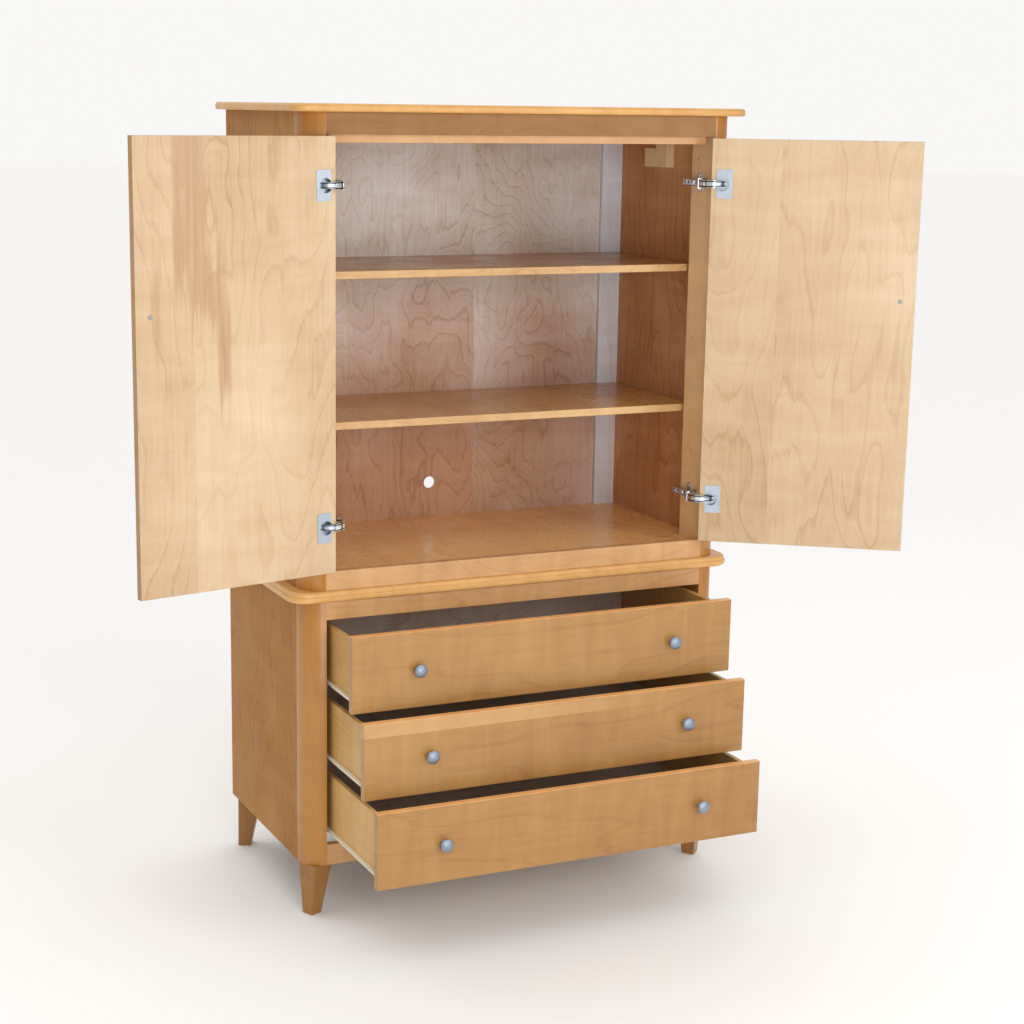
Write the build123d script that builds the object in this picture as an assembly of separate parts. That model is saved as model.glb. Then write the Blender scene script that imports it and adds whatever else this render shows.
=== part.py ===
"""A two-section armoire: a chest of three drawers under a two-door cabinet with shelves.

Millimetres, +X to the right along the front, +Y to the back, +Z up. The origin is on the floor, at the
centre of the chest's footprint. The doors stand open and the drawers are pulled part of the way out.
"""

from build123d import *

import os
from math import asin, cos, sin

# ---- Driving dimensions -------------------------------------------------------------------------
HEIGHT = 1880.0
BODY_WIDTH = 1092.0
CHEST_DEPTH = 560.0
CABINET_DEPTH = 548.0
OPENING_WIDTH = 984.0
PANEL = 19.0

# Heights above the floor
LEG_HEIGHT = 128.0
DRAWER_OPENING_BOTTOM = 178.0
DRAWER_OPENING_TOP = 722.0
CHEST_TOP_UNDERSIDE = 766.0
CHEST_TOP_SURFACE = 791.0
DOOR_OPENING_BOTTOM = 836.0
DOOR_OPENING_TOP = 1814.0
TOP_UNDERSIDE = 1862.0
FLOOR_SURFACE = 830.0

# Front corner posts: a quarter round in front, and a square stile behind it
POST_RADIUS = 54.0
STILE_DEPTH = 105.0

# Overhanging tops
TOP_OVERHANG = 26.0
TOP_CORNER = 37.0
CHEST_TOP_SIDE_OVERHANG = 32.0
CHEST_TOP_FRONT_OVERHANG = 14.0
CHEST_TOP_CORNER = 50.0
CHEST_TOP_STEP = 3.0

# Backs
BACK_PANEL = 6.0
CHEST_BACK_DEPTH = 544.0
CABINET_BACK_DEPTH = 534.0
REAR_POST = 45.0
REAR_STRIP_WIDTH = 59.0
REAR_STRIP = 12.0
CABLE_HOLE_RADIUS = 15.5
CABLE_HOLE_X = -11.0
CABLE_HOLE_Z = 918.0

# Shelves and their pins
SHELF_THICKNESS = 18.0
SHELF_HALF_WIDTH = 523.0
SHELF_FRONT_DEPTH = 115.0
SHELF_BACK_DEPTH = 520.0
SHELF_CORNER = 35.0
SHELF_TOPS = {"shelf_upper": 1506.0, "shelf_lower": 1159.0}
PIN_RADIUS = 2.5
PIN_LENGTH = 18.0
PIN_HOLE_DEPTH = 9.0
PIN_HOLE_STEP = 50.8
PIN_DEPTHS = (165.0, 500.0)
SPARE_HOLE_DEPTH_Y = 77.0
SPARE_HOLE_HEIGHTS = (880.0, 1329.0, 1759.0)

# Drawers
DRAWER_FRONT_WIDTH = 981.0
DRAWER_FRONT_HEIGHT = 178.0
DRAWER_GAP = 2.5
BOX_HALF_WIDTH = 479.0
BOX_WALL = 12.0
BOX_LIFT = 20.0
BOX_HEIGHT = 143.0
BOX_LENGTH = 500.0
BOTTOM_THICKNESS = 5.0
BOTTOM_LIFT = 12.0
GROOVE = 6.0
DRAWERS = ("bottom_drawer", "middle_drawer", "top_drawer")
DRAWER_PULLED_OUT = {"bottom_drawer": 315.0, "middle_drawer": 233.0, "top_drawer": 158.0}

# Drawer slides
SHEET = 1.2
SLIDE_LENGTH = 498.0
RUNNER_HEIGHT = 11.0
ROLLER_RADIUS = 8.0
REAR_ROLLER_RADIUS = 6.5
ROLLER_GAP = 0.2
CLEAT_HEIGHT = 45.0

# Knobs
KNOB_X = 330.0
KNOB_HEAD_RADIUS = 15.5
KNOB_LENGTH = 24.0
KNOB_FOOT_RADIUS = 8.5
KNOB_NECK_RADIUS = 6.0
KNOB_SCREW_RADIUS = 2.0
SCREW_HEAD_RADIUS = 4.5
SCREW_HEAD_HEIGHT = 2.6

# Doors
DOOR_WIDTH = 489.0
DOOR_SIDE_GAP = 2.0
DOOR_HEIGHT = 972.0
DOOR_BOTTOM = 839.0
DOOR_ANGLE = {"left": 168.0, "right": 145.0}
DOOR_KNOB_FROM_HINGE = 455.0
DOOR_KNOB_Z = 1440.0

# Hinges: every part of one turns about an upright line just in front of the door's hinge edge
HINGE_LINE_X = 487.0
HINGE_LINE_DEPTH = -4.5
HINGE_HEIGHTS = (945.0, 1705.0)
CUP_FROM_EDGE = 26.0
CUP_RADIUS = 17.2
CUP_WALL = 1.0
CUP_DEPTH = 12.0
CUP_CLEARANCE = 0.2
FLANGE_FROM_EDGE = 13.0
FLANGE_WIDTH = 37.0
FLANGE_HEIGHT = 68.0
FLANGE = 1.5
TRACK_INNER_RADIUS = 29.0
TRACK_START = 30.0
TRACK_END = 97.0
TRACK_WEB = 1.4
# Outer radius and half height of each nested track: arm, inner link, outer link, cup
ARM_TRACK = (36.0, 12.0)
INNER_LINK_TRACK = (34.3, 10.2)
OUTER_LINK_TRACK = (32.6, 8.4)
CUP_TRACK = (30.9, 6.6)
ARM_LENGTH = 81.0
ARM_HALF_HEIGHT = 8.5
ARM_THICKNESS = 12.0
PLATE_THICKNESS = 8.0
WING_CENTRE_DEPTH = 62.0
WING_WIDTH = 14.0
WING_HEIGHT = 48.0
WING_THICKNESS = 3.0

# Legs
LEG_TOP_SIZE = 57.0
LEG_FOOT_SIZE = 32.0
LEG_EDGE = 3.0
LEG_TOP_X = 509.0
FRONT_LEG_FOOT_X = 517.0
BACK_LEG_FOOT_X = 523.0
FRONT_LEG_DEPTHS = (33.0, 37.0)
BACK_LEG_DEPTHS = (522.0, 528.0)
LEG_TURNS = {"front_left": 25.0, "front_right": 42.0, "back_left": -27.0, "back_right": 12.0}
BOLT_RADIUS = 4.0
BOLT_IN_LEG = 30.0
BOLT_IN_POST = 40.0

# ---- Derived ------------------------------------------------------------------------------------
FRONT_Y = -CHEST_DEPTH / 2
HALF = BODY_WIDTH / 2
INNER = HALF - PANEL
JAMB = OPENING_WIDTH / 2
DOOR_EDGE = JAMB - DOOR_SIDE_GAP
SIDES = {"left": -1, "right": 1}


def block(x0, x1, d0, d1, z0, z1):
    """A box between two X, two depths behind the front plane, and two heights."""
    size = (abs(x1 - x0), abs(d1 - d0), abs(z1 - z0))
    centre = ((x0 + x1) / 2, FRONT_Y + (d0 + d1) / 2, (z0 + z1) / 2)
    return Pos(*centre) * Box(*size)


def rod_x(x0, x1, depth, z, radius):
    """A round bar along X."""
    return Pos((x0 + x1) / 2, FRONT_Y + depth, z) * Rot(0, 90, 0) * Cylinder(radius, abs(x1 - x0))


def rod_y(x, d0, d1, z, radius):
    """A round bar along Y."""
    return Pos(x, FRONT_Y + (d0 + d1) / 2, z) * Rot(90, 0, 0) * Cylinder(radius, abs(d1 - d0))


def rod_z(x, depth, z0, z1, radius):
    """An upright round bar."""
    return Pos(x, FRONT_Y + depth, (z0 + z1) / 2) * Cylinder(radius, z1 - z0)


def mirrored(shape):
    """The same piece on the other side of the armoire."""
    return mirror(shape, about=Plane.YZ)


def on_side(shape, side):
    """A piece drawn on the left, placed on the left or on the right."""
    return shape if side == "left" else mirrored(shape)


def group(shapes):
    """Separate solids kept together as one sub-part."""
    return Compound(children=[solid for shape in shapes for solid in shape.solids()])


def eased(shape, radius, axis):
    """The piece with the long edges along an axis rounded."""
    return fillet(shape.edges().filter_by(axis), radius)


# ---- Carcass ------------------------------------------------------------------------------------
def front_post(z0, z1):
    """The left front post: its outer corner is a quarter round, and its stile reaches behind the side."""
    centre = Pos(-JAMB, FRONT_Y + POST_RADIUS, (z0 + z1) / 2)
    corner = centre * Cylinder(POST_RADIUS, z1 - z0) & block(-HALF, -JAMB, 0, POST_RADIUS, z0, z1)
    return corner + block(-INNER, -JAMB, POST_RADIUS, STILE_DEPTH, z0, z1)


def side_panel(depth, z0, z1):
    """The left side panel, from behind the quarter round to the back."""
    return block(-HALF, -INNER, POST_RADIUS, depth, z0, z1)


def overhanging_top(side, front, depth, z0, z1, corner, top_round, bottom_round):
    """A top with two round front corners and rounded edges on all sides but the back."""
    slab = block(-HALF - side, HALF + side, -front, depth, z0, z1)
    slab = fillet(slab.edges().filter_by(Axis.Z).group_by(Axis.Y)[0], corner)
    back = FRONT_Y + depth
    for height, radius in ((z1, top_round), (z0, bottom_round)):
        rim = [
            edge
            for edge in slab.edges()
            if abs(edge.center().Z - height) < 0.01 and abs(edge.center().Y - back) > 0.01
        ]
        if radius:
            slab = fillet(rim, radius)
    return slab


def chest_top():
    """The chest's top: a thicker lower layer with a smaller rounded layer on it."""
    middle = CHEST_TOP_UNDERSIDE + 14
    lower = overhanging_top(
        CHEST_TOP_SIDE_OVERHANG, CHEST_TOP_FRONT_OVERHANG, CHEST_DEPTH,
        CHEST_TOP_UNDERSIDE, middle, CHEST_TOP_CORNER, 3, 6,
    )
    upper = overhanging_top(
        CHEST_TOP_SIDE_OVERHANG - CHEST_TOP_STEP, CHEST_TOP_FRONT_OVERHANG - CHEST_TOP_STEP, CHEST_DEPTH,
        middle, CHEST_TOP_SURFACE, CHEST_TOP_CORNER - CHEST_TOP_STEP, 8, 0,
    )
    return lower + upper


def pin_heights():
    """The height of the pins under each shelf, which carry it."""
    return [top - SHELF_THICKNESS - PIN_RADIUS for top in SHELF_TOPS.values()]


def drilled_side():
    """The cabinet's left side with its rows of shelf pin holes."""
    panel = side_panel(CABINET_DEPTH, CHEST_TOP_SURFACE, TOP_UNDERSIDE)
    for height in pin_heights():
        for step in (-1, 0, 1):
            for depth in PIN_DEPTHS:
                hole_z = height + step * PIN_HOLE_STEP
                panel -= rod_x(-INNER - PIN_HOLE_DEPTH, -INNER, depth, hole_z, PIN_RADIUS)
    return panel


def shelf(top):
    """A loose shelf with round front corners."""
    board = block(
        -SHELF_HALF_WIDTH, SHELF_HALF_WIDTH, SHELF_FRONT_DEPTH, SHELF_BACK_DEPTH, top - SHELF_THICKNESS, top
    )
    board = fillet(board.edges().filter_by(Axis.Z).group_by(Axis.Y)[0], SHELF_CORNER)
    front = board.faces().sort_by(Axis.Y)[0]
    return fillet(front.edges().filter_by(Axis.X), 1.5)


def leg(name, foot_x, depths):
    """A square leg, tapered to a smaller foot that stands a little outwards, turned about its bolt."""
    top_depth, foot_depth = depths
    side = -1 if name.endswith("left") else 1
    turn = LEG_TURNS[name]
    foot = Pos(side * foot_x, FRONT_Y + foot_depth, 0) * Rot(0, 0, turn)
    head = Pos(side * LEG_TOP_X, FRONT_Y + top_depth, LEG_HEIGHT) * Rot(0, 0, turn)
    shape = loft([foot * RectangleRounded(LEG_FOOT_SIZE, LEG_FOOT_SIZE, LEG_EDGE),
                  head * RectangleRounded(LEG_TOP_SIZE, LEG_TOP_SIZE, LEG_EDGE)])
    return shape - leg_bolt(side, top_depth)


def leg_bolt(side, depth):
    """The bolt that holds a leg to the post above it."""
    return rod_z(side * LEG_TOP_X, depth, LEG_HEIGHT - BOLT_IN_LEG, LEG_HEIGHT + BOLT_IN_POST, BOLT_RADIUS)


def glue_block():
    """The L-shaped corner block that ties the cabinet's top to its left side."""
    tall = block(-INNER, -INNER + 22, 255, 310, TOP_UNDERSIDE - 128, TOP_UNDERSIDE)
    short = block(-INNER, -INNER + 22, 310, 365, TOP_UNDERSIDE - 128, TOP_UNDERSIDE - 82)
    return tall + short


# ---- Drawers ------------------------------------------------------------------------------------
def drawer_bottom_z(name):
    """The height of the lower edge of a drawer's front."""
    return DRAWER_OPENING_BOTTOM + DRAWER_GAP + DRAWERS.index(name) * (DRAWER_FRONT_HEIGHT + DRAWER_GAP)


def dome_point(radius, rise):
    """A point half way up the knob's dome, which is a cap of a sphere of that radius and rise."""
    sphere = (radius**2 + rise**2) / (2 * rise)
    angle = asin(radius / sphere) / 2
    return (sphere * sin(angle), KNOB_LENGTH - sphere * (1 - cos(angle)))


def knob(x, depth, z, thickness):
    """A domed knob on a face, and its screw from behind, as two solids facing -Y."""
    head = KNOB_HEAD_RADIUS
    with BuildPart() as turned:
        with BuildSketch(Plane.XZ):
            with BuildLine():
                foot = Polyline((0, 0), (KNOB_FOOT_RADIUS, 0), (KNOB_FOOT_RADIUS, 1.5))
                neck = ThreePointArc(foot @ 1, (KNOB_NECK_RADIUS, 6.5), (9, 12.5))
                under = Line(neck @ 1, (head - 0.8, 16.2))
                rim = ThreePointArc(under @ 1, (head, 17.4), (head - 0.7, 18.6))
                dome = ThreePointArc(rim @ 1, dome_point(head - 0.7, KNOB_LENGTH - 18.6), (0, KNOB_LENGTH))
                Line(dome @ 1, (0, 0))
            make_face()
        revolve(axis=Axis.Z)
    body = Pos(x, FRONT_Y + depth, z) * Rot(90, 0, 0) * turned.part
    shank = rod_y(x, depth - 12, depth + thickness, z, KNOB_SCREW_RADIUS)
    pan = rod_y(x, depth + thickness, depth + thickness + SCREW_HEAD_HEIGHT, z, SCREW_HEAD_RADIUS)
    pan = fillet(pan.edges().sort_by(Axis.Y)[-1], 1.4)
    return [body - shank, shank + pan]


def drawer_slide(zb):
    """The left drawer member: a sheet angle under the box side, with its runner flange and rear roller."""
    x0, x1 = -BOX_HALF_WIDTH - SHEET, -BOX_HALF_WIDTH
    d0, d1 = PANEL, PANEL + SLIDE_LENGTH
    angle = block(x0, x1, d0, d1, zb - SHEET, zb + RUNNER_HEIGHT)
    angle += block(x0, x1 + BOX_WALL, d0, d1, zb - SHEET, zb)
    angle += block(x0 - 7.8, x0, d0, d1, zb + RUNNER_HEIGHT - SHEET, zb + RUNNER_HEIGHT)
    lip = zb - 8 + SHEET
    roller = rod_x(x0 - 8, x0, d1 - 12, lip + ROLLER_GAP + REAR_ROLLER_RADIUS, REAR_ROLLER_RADIUS)
    return [angle, roller]


def cabinet_slide(zb):
    """The left cabinet member: a sheet channel on the jamb with its front roller."""
    web = block(-JAMB, -JAMB + SHEET, PANEL + 2, PANEL + 2 + SLIDE_LENGTH, zb - 8, zb + 22)
    web += block(-JAMB, -JAMB + 10, PANEL + 2, PANEL + 2 + SLIDE_LENGTH, zb - 8, zb - 8 + SHEET)
    web += block(-JAMB, -JAMB + 8, PANEL + 2, PANEL + 2 + SLIDE_LENGTH, zb + 22 - SHEET, zb + 22)
    axle_z = zb + RUNNER_HEIGHT - SHEET - ROLLER_GAP - ROLLER_RADIUS
    roller = rod_x(-JAMB + SHEET, -JAMB + 10.5, PANEL + 16, axle_z, ROLLER_RADIUS)
    return [web, roller]


def drawer(name):
    """Every piece of one drawer, closed, by sub-part."""
    z0 = drawer_bottom_z(name)
    zb = z0 + BOX_LIFT
    bottom_z = zb + BOTTOM_LIFT
    half = DRAWER_FRONT_WIDTH / 2
    inside = BOX_HALF_WIDTH - BOX_WALL
    panel = block(
        -inside - GROOVE, inside + GROOVE, PANEL - GROOVE, PANEL + BOX_LENGTH, bottom_z, bottom_z + BOTTOM_THICKNESS
    )
    front = block(-half, half, 0, PANEL, z0, z0 + DRAWER_FRONT_HEIGHT)
    face = front.faces().sort_by(Axis.Y)[0]
    front = fillet(face.edges(), 1.5) - panel
    wall = block(-BOX_HALF_WIDTH, -inside, PANEL, PANEL + BOX_LENGTH, zb, zb + BOX_HEIGHT)
    wall = eased(wall, 1.5, Axis.Y) - panel
    back = block(
        -inside, inside, PANEL + BOX_LENGTH - BOX_WALL, PANEL + BOX_LENGTH, bottom_z + BOTTOM_THICKNESS,
        zb + BOX_HEIGHT - 3,
    )
    knobs = knob(-KNOB_X, 0, z0 + DRAWER_FRONT_HEIGHT / 2, PANEL)
    knobs += knob(KNOB_X, 0, z0 + DRAWER_FRONT_HEIGHT / 2, PANEL)
    for piece in knobs:
        front -= piece
    slides = drawer_slide(zb)
    return {
        "front": front,
        "sides": group([wall, mirrored(wall)]),
        "back": back,
        "bottom": panel,
        "knobs": group(knobs),
        "slides": group(slides + [mirrored(piece) for piece in slides]),
    }


# ---- Hinges -------------------------------------------------------------------------------------
def track(outer_radius, half_height, z, solid=False):
    """A curved channel about the hinge line, on the left, with the door closed.

    It is a ring section from TRACK_START to TRACK_END, hollowed from inside unless it is solid.
    """
    height = 2 * half_height
    line = Pos(-HINGE_LINE_X, FRONT_Y + HINGE_LINE_DEPTH, z)
    ring = Cylinder(outer_radius, height) - Cylinder(TRACK_INNER_RADIUS, height)
    if not solid:
        ring -= Cylinder(outer_radius - TRACK_WEB, height - 2 * TRACK_WEB)
    reach = 60
    arc = CenterArc((0, 0), reach, TRACK_START, TRACK_END - TRACK_START)
    wedge = make_face([arc, Line((0, 0), arc @ 0), Line(arc @ 1, (0, 0))])
    sector = Pos(0, 0, -half_height) * extrude(wedge, height)
    return line * (ring & sector)


def hinge_arm(z):
    """The left mounting plate and the arm clipped on it, which ends in the outermost track."""
    d0 = HINGE_LINE_DEPTH + ARM_TRACK[0] - 1
    d1 = d0 + ARM_LENGTH
    plate_x = -JAMB + PLATE_THICKNESS
    arm_x = plate_x + ARM_THICKNESS
    arm = block(plate_x, arm_x, d0, d1, z - ARM_HALF_HEIGHT, z + ARM_HALF_HEIGHT)
    arm = fillet(arm.edges().filter_by(Axis.Y).group_by(Axis.X)[-1], 2.5)
    arm += block(-JAMB + 0.5, arm_x - 4, d0, d0 + 8, z - ARM_HALF_HEIGHT, z + ARM_HALF_HEIGHT)
    slot_z = 4.0
    arm -= block(arm_x - 5, arm_x, d0 + 14, d0 + 40, z - slot_z, z + slot_z)
    arm -= block(arm_x - 5, arm_x, d0 + 52, d1 - 8, z - slot_z, z + slot_z)
    screw = rod_x(arm_x - 5, arm_x - 1, d0 + 27, z, 3.4)
    rear_screw = rod_x(arm_x - 5, arm_x - 1, d0 + 62, z, 3.4)
    arm += screw + rear_screw
    arm += track(*ARM_TRACK, z)
    plate = block(-JAMB, plate_x, d0 + 10, d1 - 6, z - 7, z + 7)
    wings = block(
        -JAMB, -JAMB + WING_THICKNESS, WING_CENTRE_DEPTH - WING_WIDTH / 2, WING_CENTRE_DEPTH + WING_WIDTH / 2,
        z - WING_HEIGHT / 2, z + WING_HEIGHT / 2,
    )
    wings = eased(wings, 5, Axis.X)
    for end in (-1, 1):
        wings += rod_x(-JAMB, -JAMB + WING_THICKNESS + 1.2, WING_CENTRE_DEPTH, z + end * 16, 3.6)
    return [arm, plate + wings]


def hinge_cup(z):
    """The left door's hinge cup with its flange, and the innermost track rising from the cup's floor."""
    x = -DOOR_EDGE + CUP_FROM_EDGE
    cup_floor = PANEL - CUP_DEPTH
    cup = rod_y(x, cup_floor, PANEL, z, CUP_RADIUS)
    x0 = -DOOR_EDGE + FLANGE_FROM_EDGE
    flange = block(
        x0, x0 + FLANGE_WIDTH, PANEL, PANEL + FLANGE, z - FLANGE_HEIGHT / 2, z + FLANGE_HEIGHT / 2
    )
    flange = eased(flange, 5, Axis.Y)
    cup += flange
    cup -= rod_y(x, cup_floor + CUP_WALL, PANEL + FLANGE, z, CUP_RADIUS - CUP_WALL)
    half = CUP_TRACK[1]
    cup += block(-466, -461.5, cup_floor, cup_floor + 4, z - half, z + half)
    return cup + track(*CUP_TRACK, z, solid=True)


def door():
    """The left door, closed, with a pocket for each hinge cup."""
    panel = block(-DOOR_EDGE, -DOOR_EDGE + DOOR_WIDTH, 0, PANEL, DOOR_BOTTOM, DOOR_BOTTOM + DOOR_HEIGHT)
    panel = fillet(panel.edges().filter_by(Axis.Z) + panel.edges().filter_by(Axis.X), 1.2)
    for z in HINGE_HEIGHTS:
        x = -DOOR_EDGE + CUP_FROM_EDGE
        panel -= rod_y(x, PANEL - CUP_DEPTH, PANEL, z, CUP_RADIUS + CUP_CLEARANCE)
    return panel


def about_hinge(shape, side, share):
    """A piece drawn with the door closed, swung with it by a share of the door's opening."""
    angle = -DOOR_ANGLE[side] * share
    line = Pos(-HINGE_LINE_X, FRONT_Y + HINGE_LINE_DEPTH, 0)
    swung = line * Rot(0, 0, angle) * line.inverse() * shape
    return on_side(swung, side)


# ---- The armoire --------------------------------------------------------------------------------
def build():
    """Every sub-part by name."""
    parts = {}
    rear_post = block(-INNER, -JAMB, CHEST_BACK_DEPTH - REAR_POST, CHEST_BACK_DEPTH,
                      LEG_HEIGHT, CHEST_TOP_UNDERSIDE)
    bolts = [leg_bolt(side, depths[0]) for depths in (FRONT_LEG_DEPTHS, BACK_LEG_DEPTHS) for side in (-1, 1)]
    strip = block(-INNER, -INNER + REAR_STRIP_WIDTH, CABINET_BACK_DEPTH - REAR_STRIP, CABINET_BACK_DEPTH,
                  CHEST_TOP_SURFACE, TOP_UNDERSIDE)
    chest_post = front_post(LEG_HEIGHT, CHEST_TOP_UNDERSIDE) - bolts[0]
    rear_post -= bolts[2]
    cabinet_post = front_post(CHEST_TOP_SURFACE, TOP_UNDERSIDE)
    for height in SPARE_HOLE_HEIGHTS:
        cabinet_post -= rod_x(-JAMB - 12, -JAMB, SPARE_HOLE_DEPTH_Y, height, PIN_RADIUS)
    chest_side = side_panel(CHEST_DEPTH, LEG_HEIGHT, CHEST_TOP_UNDERSIDE)
    cabinet_side = drilled_side()
    for side in SIDES:
        parts[f"chest_side_{side}"] = on_side(chest_side, side)
        parts[f"chest_front_post_{side}"] = on_side(chest_post, side)
        parts[f"cabinet_side_{side}"] = on_side(cabinet_side, side)
        parts[f"cabinet_front_post_{side}"] = on_side(cabinet_post, side)
    parts["chest_rear_posts"] = group([rear_post, mirrored(rear_post)])
    parts["chest_bottom_rail"] = block(-JAMB, JAMB, 0, PANEL, LEG_HEIGHT, DRAWER_OPENING_BOTTOM)
    parts["chest_top_rail"] = block(-JAMB, JAMB, 0, PANEL, DRAWER_OPENING_TOP, CHEST_TOP_UNDERSIDE)
    parts["chest_back_panel"] = block(-INNER, INNER, CHEST_BACK_DEPTH, CHEST_BACK_DEPTH + BACK_PANEL,
                                      LEG_HEIGHT, CHEST_TOP_UNDERSIDE)
    parts["chest_top"] = chest_top()
    for name in LEG_TURNS:
        if name.startswith("front"):
            parts[f"leg_{name}"] = leg(name, FRONT_LEG_FOOT_X, FRONT_LEG_DEPTHS)
        else:
            parts[f"leg_{name}"] = leg(name, BACK_LEG_FOOT_X, BACK_LEG_DEPTHS)
    parts["leg_bolts"] = group(bolts)

    cleats, slides = [], []
    for name in DRAWERS:
        zb = drawer_bottom_z(name) + BOX_LIFT
        cleat = block(-INNER, -JAMB, STILE_DEPTH, CHEST_BACK_DEPTH - REAR_POST, zb - 14, zb - 14 + CLEAT_HEIGHT)
        pieces = cabinet_slide(zb)
        cleats += [cleat, mirrored(cleat)]
        slides += pieces + [mirrored(piece) for piece in pieces]
        for piece_name, shape in drawer(name).items():
            parts[f"{name}_{piece_name}"] = Pos(0, -DRAWER_PULLED_OUT[name], 0) * shape
    parts["slide_cleats"] = group(cleats)
    parts["cabinet_slides"] = group(slides)

    parts["cabinet_bottom_rail"] = block(-JAMB, JAMB, 0, PANEL + 1, CHEST_TOP_SURFACE, DOOR_OPENING_BOTTOM)
    parts["cabinet_header"] = block(-JAMB, JAMB, 0, PANEL + 1, DOOR_OPENING_TOP, TOP_UNDERSIDE)
    parts["door_stop_strip"] = block(-478, 478, PANEL + 1, PANEL + 19, DOOR_OPENING_TOP - 18, DOOR_OPENING_TOP + 26)
    cabinet_floor = block(-INNER, INNER, PANEL + 1, CABINET_BACK_DEPTH, FLOOR_SURFACE - PANEL, FLOOR_SURFACE)
    strips = group([strip, mirrored(strip)])
    for piece in (cabinet_post, mirrored(cabinet_post), strip, mirrored(strip)):
        cabinet_floor -= piece
    parts["cabinet_floor"] = cabinet_floor
    parts["cabinet_rear_strips"] = strips
    back = block(-INNER, INNER, CABINET_BACK_DEPTH, CABINET_BACK_DEPTH + BACK_PANEL, CHEST_TOP_SURFACE, TOP_UNDERSIDE)
    hole = rod_y(CABLE_HOLE_X, CABINET_BACK_DEPTH, CABINET_BACK_DEPTH + BACK_PANEL, CABLE_HOLE_Z, CABLE_HOLE_RADIUS)
    parts["cabinet_back_panel"] = back - hole
    parts["cabinet_top"] = overhanging_top(
        TOP_OVERHANG, TOP_OVERHANG, CABINET_DEPTH, TOP_UNDERSIDE, HEIGHT, TOP_CORNER, 8, 6
    )
    for name, top in SHELF_TOPS.items():
        parts[name] = shelf(top)
    pins = [
        rod_x(-INNER - PIN_HOLE_DEPTH, -INNER - PIN_HOLE_DEPTH + PIN_LENGTH, depth, height, PIN_RADIUS)
        for height in pin_heights()
        for depth in PIN_DEPTHS
    ]
    parts["shelf_pins"] = group(pins + [mirrored(pin) for pin in pins])
    corner_block = glue_block()
    parts["glue_blocks"] = group([corner_block, mirrored(corner_block)])

    arms = [piece for z in HINGE_HEIGHTS for piece in hinge_arm(z)]
    parts["hinge_arms"] = group(arms + [mirrored(piece) for piece in arms])
    knob_x = -DOOR_EDGE + DOOR_KNOB_FROM_HINGE
    knob_pieces = knob(knob_x, 0, DOOR_KNOB_Z, PANEL)
    door_panel = door()
    for piece in knob_pieces:
        door_panel -= piece
    for side in SIDES:
        parts[f"{side}_door_panel"] = about_hinge(door_panel, side, 1)
        parts[f"{side}_door_knob"] = group(about_hinge(piece, side, 1) for piece in knob_pieces)
        parts[f"{side}_hinge_cups"] = group(about_hinge(hinge_cup(z), side, 1) for z in HINGE_HEIGHTS)
        parts[f"{side}_hinge_inner_links"] = group(
            about_hinge(track(*INNER_LINK_TRACK, z), side, 1 / 3) for z in HINGE_HEIGHTS
        )
        parts[f"{side}_hinge_outer_links"] = group(
            about_hinge(track(*OUTER_LINK_TRACK, z), side, 2 / 3) for z in HINGE_HEIGHTS
        )
    return parts


os.makedirs("parts", exist_ok=True)
for part_name, part_shape in build().items():
    export_step(part_shape, f"parts/{part_name}.step")
    print(part_name, len(part_shape.solids()))
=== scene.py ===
"""The looks of a two-section armoire: honey maple veneers, satin metal knobs and plated hinges."""

import math

import bpy
from mathutils import Matrix, Vector


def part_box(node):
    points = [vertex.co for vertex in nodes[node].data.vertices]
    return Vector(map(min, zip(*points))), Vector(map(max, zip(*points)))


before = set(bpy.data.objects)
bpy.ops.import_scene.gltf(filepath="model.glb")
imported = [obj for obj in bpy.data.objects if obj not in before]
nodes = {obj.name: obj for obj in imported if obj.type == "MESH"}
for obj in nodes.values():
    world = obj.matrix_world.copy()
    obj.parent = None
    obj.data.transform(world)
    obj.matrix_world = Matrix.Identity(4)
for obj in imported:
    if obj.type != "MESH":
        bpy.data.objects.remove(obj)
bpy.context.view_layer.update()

scene = bpy.context.scene

# ---- Colours (sRGB, 0 to 255) -------------------------------------------------------------------
FRONT = (172, 127, 70)
# Painted light: the drawer fronts' top faces and top edges are lighter, as if lit from above.
LIT_TOP_EDGE = (232, 172, 104)
TOP = (212, 161, 92)
RAIL = (200, 151, 98)
POST = (180, 124, 54)
# Painted light: the cabinet posts' inner faces are the same wood as the posts, painted lighter.
POST_INSIDE_LIT = (238, 200, 148)
LEG = (156, 108, 46)
SIDE = (172, 122, 62)
DOOR = (204, 176, 140)
BACK = (208, 196, 186)
INSIDE = (198, 146, 102)
FLOOR = (238, 188, 122)
# Painted shade: the upper shelf is the same wood as the lower one, given a darker colour.
SHELF_UPPER_SHADED = (172, 128, 74)
SHELF_LOWER = (200, 150, 88)
# The shelves' front lipping: its own edge band, painted lighter mostly as light on the edge facing the lamps.
SHELF_LIPPING_LIT = (206, 166, 114)
BIRCH = (200, 158, 94)
PALE_BIRCH = (230, 206, 160)
PLY = (206, 190, 176)
PLY_OUTSIDE = (182, 146, 104)
STRIP = (216, 216, 224)
# Painted shade: the header's darker colour stands in for the shade under the cabinet top's overhang.
HEADER_SHADED = (148, 106, 58)
HEARTWOOD_COLOUR = (180, 143, 106)
WARM_TINT = (222, 180, 148)
SCUFF_COLOUR = (120, 76, 42)
PALE_LEAF = (224, 180, 124)
# Painted shade: the dark colour inside the hinges' slots.
SLOT_SHADE = (52, 50, 60)

# ---- Places, in metres --------------------------------------------------------------------------
ALONG = {"X": 0, "Y": 1, "Z": 2}
HINGE_X, HINGE_Y = 0.487, -0.2845
DOOR_ANGLE = {"left": 168, "right": -145}
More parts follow.
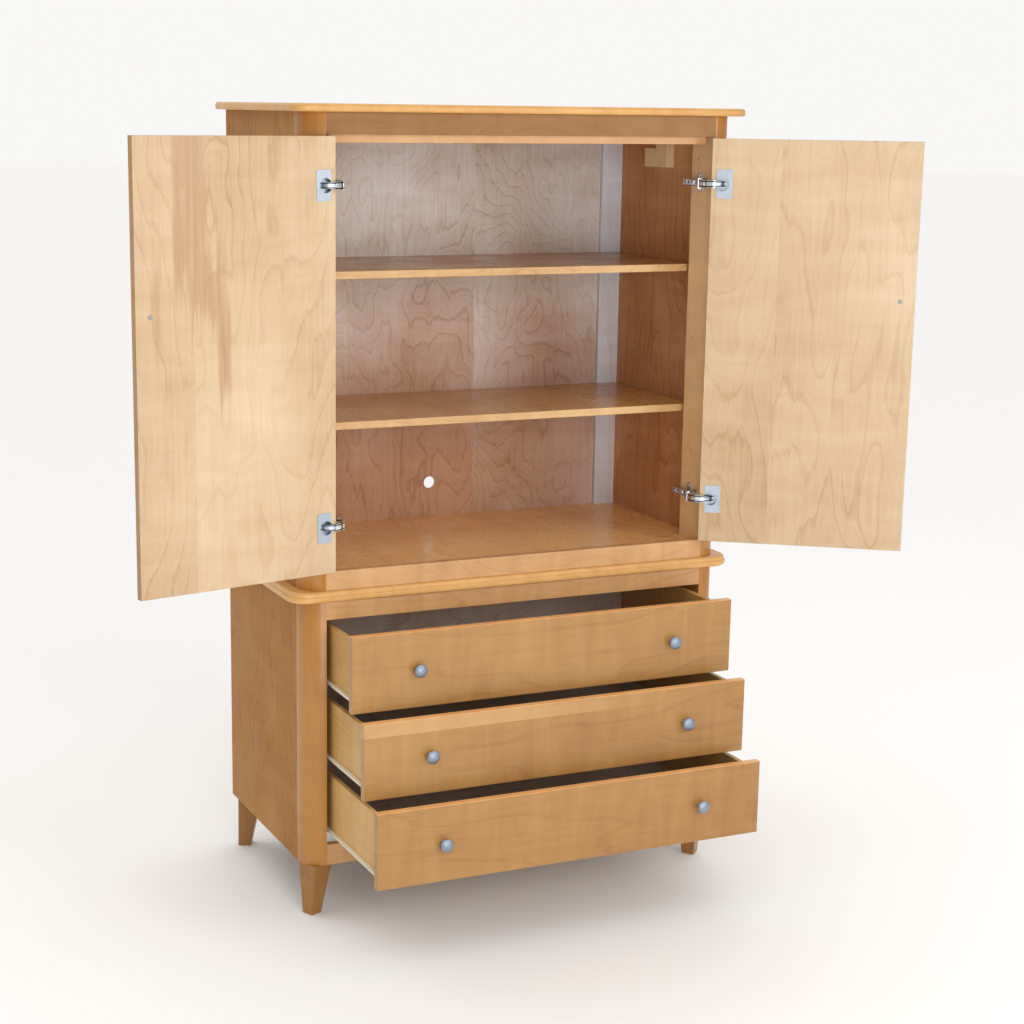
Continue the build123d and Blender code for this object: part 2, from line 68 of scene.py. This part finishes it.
# In a closed door's own coordinates: the joint in its veneer, and the edge between outside and inside
DOOR_SEAM = {"left": 0.349, "right": -0.162}
DOOR_INSIDE = (0.0228, 0.0232)
BACK_SEAM = 0.110
POST_INSIDE_X = 0.4922
PALE_LEAF_DEPTH = 0.033
# Distance from the hinge line, lower and upper end and strength of each streak of heartwood
HEARTWOOD = (
    (0.320, 0.394, 1.50, 1.90, 1.0),
    (0.270, 0.356, 1.40, 1.52, 0.95),
    (0.264, 0.292, 1.27, 1.45, 1.2),
    (0.425, 0.444, 1.33, 1.50, 0.6),
)
# Height above and below a hinge's middle, and distance from the hinge line, of the slots, whose dark colour
# is painted shade
LINK_SLOT = (0.0046, 0.0074)
CUP_SLOT = (0.0036, 0.0060)
SLOT_NEAR = (0.0286, 0.0290)
SLOT_FAR = (0.0346, 0.0348)
HINGE_SPREAD = 0.38
hinge_low, hinge_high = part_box("hinge_arms")
HINGE_MIDDLE = (hinge_low[2] + hinge_high[2]) / 2
SEAM_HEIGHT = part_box("middle_drawer_front")[1][2] - PALE_LEAF_DEPTH

# ---- View and light -----------------------------------------------------------------------------
VIEW_PLACE = (-2.0248, -4.4461, 1.8800)
VIEW_YAW, VIEW_PITCH, VIEW_ROLL = (math.radians(angle) for angle in (24.426, -12.078, 0.787))
LENS, SENSOR_WIDTH = 70.19, 36
SHIFT_X, SHIFT_Y = 0.0402, 0.0199
SEEN_SKY = 0.94


def linear(colour):
    """An sRGB colour from 0 to 255 as a linear RGBA."""
    values = [c / 255 for c in colour]
    return [c / 12.92 if c < 0.04045 else ((c + 0.055) / 1.055) ** 2.4 for c in values] + [1.0]


class Shader:
    """Builds the nodes of one material."""

    def __init__(self, name):
        self.material = bpy.data.materials.new(name)
        self.material.use_nodes = True
        self.tree = self.material.node_tree
        self.tree.nodes.clear()
        output = self.tree.nodes.new("ShaderNodeOutputMaterial")
        self.surface = self.tree.nodes.new("ShaderNodeBsdfPrincipled")
        self.tree.links.new(self.surface.outputs[0], output.inputs["Surface"])

    def feed(self, socket, value):
        """Sets a socket to a value, or links it to another node's output."""
        if isinstance(value, bpy.types.NodeSocket):
            self.tree.links.new(value, socket)
        elif value is not None:
            socket.default_value = value

    def add(self, kind, inputs=(), **settings):
        node = self.tree.nodes.new(kind)
        for key, value in settings.items():
            setattr(node, key, value)
        for key, value in dict(inputs).items():
            self.feed(node.inputs[key], value)
        return node

    def math(self, operation, a, b=None, c=None, clamp=False):
        inputs = {0: a, 1: b, 2: c}
        return self.add("ShaderNodeMath", inputs, operation=operation, use_clamp=clamp).outputs[0]

    def mix(self, factor, a, b, blend="MIX"):
        inputs = {"Factor": factor, "A": a, "B": b}
        node = self.tree.nodes.new("ShaderNodeMix")
        node.data_type, node.blend_type = "RGBA", blend
        for socket in node.inputs:
            if socket.enabled and socket.name in inputs:
                self.feed(socket, inputs[socket.name])
        return next(o for o in node.outputs if o.enabled)

    def noise(self, vector, scale, detail=2.0, roughness=0.5, distortion=0.0):
        inputs = {
            "Vector": vector,
            "Scale": scale,
            "Detail": detail,
            "Roughness": roughness,
            "Distortion": distortion,
        }
        return self.add("ShaderNodeTexNoise", inputs).outputs[0]

    def mapping(self, vector, location=(0, 0, 0), rotation=(0, 0, 0), scale=(1, 1, 1)):
        inputs = {"Vector": vector, "Location": location, "Rotation": rotation, "Scale": scale}
        return self.add("ShaderNodeMapping", inputs).outputs[0]

    def ease(self, value, low, high, start=0.0, end=1.0):
        """A smooth step from start to end as the value goes from low to high."""
        inputs = {"Value": value, "From Min": low, "From Max": high, "To Min": start, "To Max": end}
        return self.add("ShaderNodeMapRange", inputs, interpolation_type="SMOOTHSTEP").outputs[0]

    def separate(self, vector):
        return self.add("ShaderNodeSeparateXYZ", {0: vector}).outputs

    def place(self):
        return self.add("ShaderNodeTexCoord").outputs["Object"]

    def bump(self, height, strength, distance):
        inputs = {"Height": height, "Strength": strength, "Distance": distance}
        self.feed(self.surface.inputs["Normal"], self.add("ShaderNodeBump", inputs).outputs[0])


def stretch(along, across_scale, along_scale):
    """A mapping scale that draws a pattern out along the grain."""
    return tuple(along_scale if i == ALONG[along] else across_scale for i in range(3))


def wood(name, colour, along, seed, turn=0.0, pivot=(0, 0, 0), figure=0.5, lines=26.0, swirl=0.2, curl=1.0,
         contrast=1.0, ragged=0.5, rough=0.36, coat=0.3, shine=0.5, seam=None, extra=None):
    """Sliced maple veneer under satin lacquer: growth lines, fibres, flecks and a faint curl.

    seam is the place along X of a joint between two leaves of veneer, where the figure jumps.
    extra paints more over the finished wood.
    """
    s = Shader(name)
    place = s.place()
    if turn or any(pivot):
        back = s.mapping(place, location=tuple(-p for p in pivot))
        place = s.mapping(back, rotation=(0, 0, turn))
    offset = tuple(seed * k for k in (1.37, 2.11, 3.07))
    leafed, leaf = place, None
    if seam is not None:
        leaf = s.math("GREATER_THAN", s.separate(place)[0], seam)
        jump = {i: s.math("MULTIPLY", leaf, 5.3 + i) for i in range(3)}
        shift = s.add("ShaderNodeCombineXYZ", jump).outputs[0]
        leafed = s.add("ShaderNodeVectorMath", {0: place, 1: shift}, operation="ADD").outputs[0]

    def drawn(across_scale, along_scale):
        return s.mapping(leafed, location=offset, scale=stretch(along, across_scale, along_scale))

    grain = drawn(1.0, swirl)
    warp = s.noise(grain, 2.7, 3.0, 0.52, 0.25)
    streak = s.noise(drawn(120.0, 3.4), 1.0, 3.0, 0.6)
    fibre = s.noise(drawn(800.0, 22.0), 1.0, 2.0, 0.6)
    fleck = s.ease(s.noise(drawn(420.0, 46.0), 1.0, 1.0, 0.5), 0.66, 0.78)
    band = s.noise(drawn(4.0, 20.0), 1.0, 2.0, 0.5, 0.8)
    blotch = s.noise(drawn(3.6, 2.2), 1.0, 3.0, 0.5)
    height = s.math("MULTIPLY_ADD", warp, lines, s.math("MULTIPLY", streak, ragged))
    ring = s.math("FRACT", height)
    late = s.math("MULTIPLY", s.ease(ring, 0.72, 0.94), s.ease(ring, 0.94, 1.0, 1.0, 0.0))
    fine_ring = s.math("FRACT", s.math("MULTIPLY", height, 3.0))
    fine_late = s.math("MULTIPLY", s.ease(fine_ring, 0.5, 0.9), s.ease(fine_ring, 0.9, 1.0, 1.0, 0.0))
    late = s.math("MULTIPLY_ADD", fine_late, 0.42, late)
    tone = s.math("MULTIPLY", s.math("MULTIPLY", late, s.ease(blotch, 0.3, 0.7, 0.4, 1.0)), 0.14 * figure)
    tone = s.math("MULTIPLY_ADD", s.math("SUBTRACT", ring, 0.5), 0.03 * figure, tone)
    tone = s.math("MULTIPLY_ADD", s.math("SUBTRACT", streak, 0.5), 0.14 * contrast, tone)
    tone = s.math("MULTIPLY_ADD", s.math("SUBTRACT", fibre, 0.5), 0.10 * contrast, tone)
    tone = s.math("MULTIPLY_ADD", s.math("SUBTRACT", blotch, 0.5), 0.42 * contrast, tone)
    tone = s.math("MULTIPLY_ADD", s.math("SUBTRACT", band, 0.5), 0.26 * curl, tone)
    tone = s.math("MULTIPLY_ADD", fleck, 0.03, tone)
    if leaf:
        tone = s.math("MULTIPLY_ADD", leaf, 0.035, tone)
    shade = s.math("SUBTRACT", 1.0, tone)
    base = linear(colour)
    # Darker wood is also redder, so each channel falls at its own rate.
    channels = {i: s.math("MULTIPLY", s.math("POWER", shade, power), base[i])
                for i, power in enumerate((1.0, 1.5, 2.1))}
    paint = s.add("ShaderNodeCombineColor", channels).outputs[0]
    if extra:
        paint = extra(s, place, paint, streak, blotch)
    s.feed(s.surface.inputs["Base Color"], paint)
    worn = s.noise(s.mapping(place, location=offset), 9.0, 4.0, 0.6)
    s.feed(s.surface.inputs["Roughness"], s.ease(worn, 0.3, 0.7, rough - 0.06, rough + 0.1))
    s.surface.inputs["Coat Weight"].default_value = coat
    s.surface.inputs["Coat Roughness"].default_value = 0.22
    s.surface.inputs["IOR"].default_value = 1.48
    s.surface.inputs["Specular IOR Level"].default_value = shine
    relief = s.math("MULTIPLY_ADD", fibre, 0.6, s.math("MULTIPLY", late, -0.4))
    s.bump(relief, 0.2, 0.0003)
    return s.material


def band_between(s, value, low, high, soft):
    """One inside a range of a value, and nothing outside it."""
    above = s.ease(value, low - soft, low + soft)
    below = s.ease(value, high - soft, high + soft, 1.0, 0.0)
    return s.math("MULTIPLY", above, below)


def metal(name, colour, rough, brushed=(300, 300, 300), wear=0.08, metallic=1.0, slotted=None):
    """Plated or satin metal with fine brushing and a few softer patches.

    slotted gives the edges of the slots along a hinge's links, which are painted dark: painted shade inside
    them.
    """
    s = Shader(name)
    place = s.place()
    fine = s.noise(s.mapping(place, scale=brushed), 1.0, 3.0, 0.6)
    patch = s.noise(place, 60.0, 3.0, 0.6)
    dull = linear(tuple(c * 0.8 for c in colour))
    paint = s.mix(s.ease(patch, 0.35, 0.8, 0.0, 0.35), linear(colour), dull)
    if slotted:
        x, y, z = s.separate(place)
        from_middle = s.math("ABSOLUTE", s.math("SUBTRACT", z, HINGE_MIDDLE))
        from_hinge = s.math("ABSOLUTE", s.math("SUBTRACT", from_middle, HINGE_SPREAD))
        out = s.math("SUBTRACT", s.math("ABSOLUTE", x), HINGE_X)
        along = s.math("SUBTRACT", y, HINGE_Y)
        squares = s.math("ADD", s.math("POWER", out, 2.0), s.math("POWER", along, 2.0))
        radius = s.math("POWER", squares, 0.5)
        slot = s.math("MULTIPLY", band_between(s, from_hinge, *slotted, 0.0003), s.ease(radius, *SLOT_NEAR))
        slot = s.math("MULTIPLY", slot, s.ease(radius, *SLOT_FAR, 1.0, 0.0))
        # The slots are painted dark: painted shade where the openings would be.
        paint = s.mix(slot, paint, linear(SLOT_SHADE))
    s.feed(s.surface.inputs["Base Color"], paint)
    worn = s.math("MULTIPLY_ADD", s.math("ADD", fine, patch), wear, rough - wear)
    s.feed(s.surface.inputs["Roughness"], worn)
    s.surface.inputs["Metallic"].default_value = metallic
    s.bump(fine, 0.1, 0.00005)
    return s.material


def epoxy(name, colour, rough):
    """Powder-coated sheet steel with a faint orange peel, dulled where the rollers run."""
    s = Shader(name)
    place = s.place()
    peel = s.noise(place, 900.0, 2.0, 0.5)
    scuff = s.ease(s.noise(s.mapping(place, scale=(400, 6, 400)), 1.0, 3.0, 0.6), 0.6, 0.75)
    dull = linear(tuple(c * 0.72 for c in colour))
    s.feed(s.surface.inputs["Base Color"], s.mix(s.math("MULTIPLY", scuff, 0.4), linear(colour), dull))
    s.feed(s.surface.inputs["Roughness"], s.ease(scuff, 0.0, 1.0, rough, rough + 0.2))
    s.bump(peel, 0.15, 0.0001)
    return s.material


# ---- What differs from board to board -----------------------------------------------------------
def heartwood(s, place, colour, streak, blotch):
    """The left door's inside: brown heartwood in ragged strips, stepping towards the hinge lower down."""
    x, _, z = s.separate(place)
    ragged = s.noise(s.mapping(place, scale=(70.0, 70.0, 2.2)), 1.0, 4.0, 0.65)
    ragged = s.math("SUBTRACT", ragged, 0.5)
    level = s.math("MULTIPLY_ADD", ragged, 0.34, z)
    bend = s.math("SUBTRACT", s.noise(s.mapping(place, scale=(3, 3, 5)), 1.0, 2.0), 0.5)
    across = s.math("ADD", x, s.math("MULTIPLY", bend, 0.03))
    total = None
    for near, far, low, top, strength in HEARTWOOD:
        strip = band_between(s, across, near, far, 0.006)
        strip = s.math("MULTIPLY", strip, s.ease(level, low - 0.02, low + 0.06))
        strip = s.math("MULTIPLY", strip, s.ease(level, top, top + 0.10, strength, 0.0))
        total = strip if total is None else s.math("MAXIMUM", total, strip)
    depth = s.math("MULTIPLY", total, s.ease(streak, 0.3, 0.65, 0.5, 0.95))
    return s.mix(s.math("MINIMUM", depth, 1.0), colour, linear(HEARTWOOD_COLOUR))


def two_faces(colour, other_colour, test, inside=None):
    """The face picked by test keeps its colour, and the same figure shows in another colour on the rest.

    inside paints more on the picked face alone.
    """
    ratio = [b / a for a, b in zip(linear(colour)[:3], linear(other_colour)[:3])] + [1.0]

    def painted(s, place, base, streak, blotch):
        picked = inside(s, place, base, streak, blotch) if inside else base
        return s.mix(test(s, place), s.mix(1.0, base, ratio, "MULTIPLY"), picked)

    return painted


def side_of(axis, low, high, start=0.0, end=1.0, sign=1):
    """A test for two_faces that goes from start to end as a coordinate, times sign, goes from low to high."""

    def test(s, place):
        value = s.math("MULTIPLY", s.separate(place)[ALONG[axis]], sign)
        return s.ease(value, low, high, start, end)

    return test


def warm_low_lit_right_leaf(s, place, colour, streak, blotch):
    """The cabinet's back takes a warm, darker tint low down and in patches; beyond its veneer joint the tint
    is weaker, painted light against the right side's shadow.
    """
    x, _, z = s.separate(place)
    low = s.ease(z, 0.95, 1.65, 1.0, 0.0)
    # Weaker on the right leaf: painted light that offsets the shadow cast by the cabinet's right side.
    warm = s.math("MULTIPLY", low, s.ease(x, BACK_SEAM - 0.001, BACK_SEAM + 0.001, 1.0, 0.7))
    wander = s.math("MULTIPLY", s.math("SUBTRACT", blotch, 0.5), 1.2)
    return s.mix(s.math("ADD", warm, wander, clamp=True), colour, linear(WARM_TINT), "MULTIPLY")


def scratched(s, place, colour, streak, blotch):
    """The cabinet floor has a few short pale scuffs that run with the grain and a little across it."""
    thin = s.noise(s.mapping(place, rotation=(0, 0, 0.12), scale=(7.0, 150.0, 1.0)), 1.0, 1.0, 0.4)
    where = s.noise(place, 5.0, 1.0, 0.4)
    scuff = s.math("MULTIPLY", s.ease(thin, 0.70, 0.76), s.ease(where, 0.52, 0.62))
    return s.mix(s.math("MULTIPLY", scuff, 0.6), colour, linear(SCUFF_COLOUR))


def pale_strip_on_top(s, place, colour, streak, blotch):
    """The middle drawer's veneer has a paler leaf along its upper edge."""
    x, _, z = s.separate(place)
    above = s.ease(z, SEAM_HEIGHT - 0.0004, SEAM_HEIGHT + 0.0004)
    pale = s.math("MULTIPLY", above, s.ease(x, -0.2, 0.35, 0.38, 0.0))
    return s.mix(pale, colour, linear(PALE_LEAF))


def assign(material, *names):
    """Gives a material to CAD nodes."""
    for name in names:
        mesh = nodes[name].data
        mesh.materials.clear()
        mesh.materials.append(material)


# ---- Wood, board by board -----------------------------------------------------------------------
for side, outward, seed in (("left", -1, 3.1), ("right", 1, 7.4)):
    # In the door's own coordinates X runs between the hinge line and the free edge, and Y to the inside.
    door = wood(
        f"door_{side}_maple", DOOR, "Z", seed, turn=math.radians(DOOR_ANGLE[side]),
        pivot=(outward * HINGE_X, HINGE_Y, 0), figure=0.62, lines=21, swirl=0.3, curl=0.7, ragged=0.45,
        seam=DOOR_SEAM[side],
        extra=two_faces(DOOR, FRONT, side_of("Y", *DOOR_INSIDE), heartwood if side == "left" else None),
    )
    assign(door, f"{side}_door_panel")

for index, name in enumerate(("bottom_drawer", "middle_drawer", "top_drawer")):
    top_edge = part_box(f"{name}_front")[1][2]
    # The top face and the top millimetre of each front are painted lighter: painted light from above.
    below_edge = side_of("Z", top_edge - 0.0012, top_edge - 0.0006, 1.0, 0.0)
    leaf = pale_strip_on_top if name == "middle_drawer" else None
    front = wood(f"{name}_maple", FRONT, "X", 11.3 + 2.7 * index, figure=0.5, lines=16, curl=1.3,
                 extra=two_faces(FRONT, LIT_TOP_EDGE, below_edge, leaf))
    birch = wood(f"{name}_birch", BIRCH, "Y", 5.9 + 1.3 * index, figure=0.4, coat=0.1, rough=0.45)
    plywood = wood(f"{name}_plywood", PLY, "X", 8.9 + 1.9 * index, figure=0.9, lines=30, swirl=0.4, coat=0.1,
                   rough=0.45)
    assign(front, f"{name}_front")
    assign(birch, f"{name}_sides")
    assign(plywood, f"{name}_back", f"{name}_bottom")

assign(wood("rail_maple", RAIL, "X", 21.7, figure=0.5, lines=24, curl=1.3),
       "chest_top_rail", "chest_bottom_rail", "cabinet_bottom_rail", "door_stop_strip")
# The header is darker than the rails: painted shade under the top's overhang.
assign(wood("header_shaded_maple", HEADER_SHADED, "X", 23.2, figure=0.5, lines=20, curl=0.9, coat=0.1, shine=0.3),
       "cabinet_header")
assign(wood("top_maple", TOP, "X", 25.3, figure=0.35, lines=24, contrast=0.6, coat=0.15, rough=0.42),
       "chest_top", "cabinet_top")

for side, outward, seed in (("left", -1, 31.1), ("right", 1, 35.9)):
    # Each post's face towards the inside is painted lighter than the rest: painted light on the same wood.
    beyond_jamb = side_of("X", POST_INSIDE_X, POST_INSIDE_X + 0.0005, sign=outward)
    cabinet_post = wood(f"post_{side}_maple", POST, "Z", seed, figure=0.3, lines=14, contrast=0.6, curl=0.6,
                        extra=two_faces(POST, POST_INSIDE_LIT, beyond_jamb))
    chest_post = wood(f"chest_post_{side}_maple", POST, "Z", seed + 1, figure=0.3, lines=14, contrast=0.6,
                      curl=0.6)
    chest_side = wood(f"side_{side}_maple", SIDE, "Z", seed + 3, figure=0.7, lines=24, coat=0.0, rough=0.6,
                      shine=0.2)
    inner = min(abs(corner[0]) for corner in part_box(f"cabinet_side_{side}"))
    beyond_inner = side_of("X", inner, inner + 0.0005, sign=outward)
    cabinet_side = wood(f"cabinet_side_{side}_maple", SIDE, "Z", seed + 5, figure=1.1, lines=24, contrast=1.3,
                        coat=0.0, rough=0.6, shine=0.2, extra=two_faces(SIDE, INSIDE, beyond_inner))
    assign(cabinet_post, f"cabinet_front_post_{side}")
    assign(chest_post, f"chest_front_post_{side}")
    assign(chest_side, f"chest_side_{side}")
    assign(cabinet_side, f"cabinet_side_{side}")

back_middle = sum(corner[1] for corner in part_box("cabinet_back_panel")) / 2
back_inside = side_of("Y", back_middle - 0.001, back_middle, 1.0, 0.0)
assign(wood("back_veneer", BACK, "Z", 41.3, figure=1.1, lines=30, swirl=0.5, contrast=1.5, ragged=0.9,
            rough=0.5, coat=0.1, seam=BACK_SEAM,
            extra=two_faces(BACK, PLY_OUTSIDE, back_inside, warm_low_lit_right_leaf)), "cabinet_back_panel")
assign(wood("chest_back_veneer", PLY_OUTSIDE, "Z", 43.9, figure=0.8, lines=24, swirl=0.3, rough=0.55,
            coat=0.05), "chest_back_panel")
assign(wood("cabinet_floor_maple", FLOOR, "X", 44.1, figure=0.6, rough=0.28, extra=scratched),
       "cabinet_floor")
# The upper shelf's darker colour is painted shade.
for name, colour, seed in (("shelf_upper", SHELF_UPPER_SHADED, 47.7), ("shelf_lower", SHELF_LOWER, 49.3)):
    front_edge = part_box(name)[0][1]
    # The lipping is painted lighter, mostly painted light on the front edge.
    lipping = side_of("Y", front_edge + 0.0002, front_edge + 0.0008)
    assign(wood(f"{name}_maple", colour, "X", seed, figure=0.6, lines=30, rough=0.3,
                extra=two_faces(colour, SHELF_LIPPING_LIT, lipping)), name)
assign(wood("strip_wood", STRIP, "Z", 51.9, figure=0.3, rough=0.6, coat=0.0), "cabinet_rear_strips")
assign(wood("batten_birch", BIRCH, "Z", 55.3, figure=0.5, rough=0.6, coat=0.0),
       "slide_cleats", "chest_rear_posts")
assign(wood("block_birch", PALE_BIRCH, "Y", 57.9, figure=0.5, rough=0.6, coat=0.0), "glue_blocks")
for index, name in enumerate(("front_left", "front_right", "back_left", "back_right")):
    assign(wood(f"leg_{name}_maple", LEG, "Z", 61.1 + 3.3 * index, figure=0.7, lines=60), f"leg_{name}")

# ---- Metal --------------------------------------------------------------------------------------
# The knobs' grey is the nickel's own; their blue tint is a painted reflection of sky, shown through a partly
# diffuse finish.
nickel = metal("satin_nickel_painted_sky", (146, 157, 172), 0.46, metallic=0.7)
plated = metal("plated_steel", (214, 218, 224), 0.2)
slotted = metal("slotted_steel", (222, 226, 232), 0.2, slotted=LINK_SLOT)
cup_plate = metal("cup_plate", (182, 192, 204), 0.34, slotted=CUP_SLOT)
zinc = metal("zinc_plate", (176, 178, 182), 0.34)
assign(nickel, "left_door_knob", "right_door_knob", "bottom_drawer_knobs", "middle_drawer_knobs",
       "top_drawer_knobs")
assign(plated, "hinge_arms")
assign(cup_plate, "left_hinge_cups", "right_hinge_cups")
assign(slotted, "left_hinge_inner_links", "right_hinge_inner_links", "left_hinge_outer_links",
       "right_hinge_outer_links")
assign(zinc, "shelf_pins", "leg_bolts")
assign(epoxy("cream_epoxy", (232, 226, 208), 0.38),
       "cabinet_slides", "bottom_drawer_slides", "middle_drawer_slides", "top_drawer_slides")

# ---- Edges --------------------------------------------------------------------------------------
SQUARE_EDGED = (
    "chest_side", "chest_front_post", "chest_rear", "chest_top_rail", "chest_bottom", "cabinet_side",
    "cabinet_front_post", "cabinet_header", "cabinet_bottom", "door_stop", "glue_blocks", "slide_cleats",
    "drawer_back", "cabinet_rear",
)
for name, obj in nodes.items():
    if not any(word in name for word in SQUARE_EDGED):
        continue
    weld = obj.modifiers.new("weld", "WELD")
    weld.merge_threshold = 1e-6
    bevel = obj.modifiers.new("eased_edges", "BEVEL")
    bevel.width = 0.0008
    bevel.segments = 2
    bevel.limit_method = "ANGLE"
    bevel.angle_limit = math.radians(40)
    bevel.harden_normals = True

# ---- Stage, light and camera --------------------------------------------------------------------
bpy.ops.mesh.primitive_circle_add(vertices=96, radius=60, fill_type="NGON", location=(0, 0, 0))
ground = bpy.context.object
ground.name = "studio_floor"
s = Shader("studio_floor")
s.surface.inputs["Base Color"].default_value = (0.89, 0.885, 0.875, 1)
s.surface.inputs["Roughness"].default_value = 0.7
ground.data.materials.append(s.material)

world = bpy.data.worlds.new("studio")
scene.world = world
world.use_nodes = True
sky = world.node_tree
background = sky.nodes["Background"]
background.inputs["Color"].default_value = (1.0, 0.995, 0.985, 1)
direction = sky.nodes.new("ShaderNodeSeparateXYZ")
sky.links.new(sky.nodes.new("ShaderNodeTexCoord").outputs["Generated"], direction.inputs[0])


def sky_ramp(axis, low, high, start, end):
    """Light that changes from start to end as the direction's axis goes from low to high."""
    ramp = sky.nodes.new("ShaderNodeMapRange")
    ramp.interpolation_type = "SMOOTHSTEP"
    for index, value in enumerate((low, high, start, end), 1):
        ramp.inputs[index].default_value = value
    sky.links.new(direction.outputs[axis], ramp.inputs[0])
    return ramp.outputs[0]


total = sky.nodes.new("ShaderNodeMath")
total.operation = "ADD"
sky.links.new(sky_ramp("Y", -0.1, 0.6, 0.30, 0.93), total.inputs[0])
sky.links.new(sky_ramp("Z", 0.3, 1.0, 0.0, 0.9), total.inputs[1])
# The camera sees an even background, while the part is lit by the gradient.
seen = sky.nodes.new("ShaderNodeMix")
sky.links.new(sky.nodes.new("ShaderNodeLightPath").outputs["Is Camera Ray"], seen.inputs[0])
sky.links.new(total.outputs[0], seen.inputs[2])
seen.inputs[3].default_value = SEEN_SKY
sky.links.new(seen.outputs[0], background.inputs["Strength"])


def area_light(name, place, target, size, power, colour):
    light = bpy.data.lights.new(name, "AREA")
    light.shape, light.size, light.energy, light.color = "DISK", size, power, colour
    obj = bpy.data.objects.new(name, light)
    scene.collection.objects.link(obj)
    obj.location = place
    obj.rotation_mode = "QUATERNION"
    obj.rotation_quaternion = (Vector(target) - Vector(place)).to_track_quat("-Z", "Y")


area_light("key", (2.4, -4.6, 2.6), (0, -0.3, 1.0), 2.0, 55, (1.0, 0.98, 0.95))
area_light("front", (-0.9, -5.6, 1.8), (0, 0, 1.1), 3.2, 120, (1.0, 0.99, 0.98))

ahead = Vector((math.sin(VIEW_YAW), math.cos(VIEW_YAW), 0))
forward = ahead * math.cos(VIEW_PITCH) + Vector((0, 0, math.sin(VIEW_PITCH)))
right = Vector((math.cos(VIEW_YAW), -math.sin(VIEW_YAW), 0))
up = right.cross(forward)
turned = right * math.cos(VIEW_ROLL) + up * math.sin(VIEW_ROLL)
upward = up * math.cos(VIEW_ROLL) - right * math.sin(VIEW_ROLL)
camera = bpy.data.objects.new("camera", bpy.data.cameras.new("camera"))
scene.collection.objects.link(camera)
facing = Matrix((turned, upward, -forward)).transposed().to_4x4()
camera.matrix_world = Matrix.Translation(VIEW_PLACE) @ facing
camera.data.lens, camera.data.sensor_width = LENS, SENSOR_WIDTH
camera.data.shift_x, camera.data.shift_y = SHIFT_X, SHIFT_Y
scene.camera = camera
scene.view_settings.view_transform = "Standard"
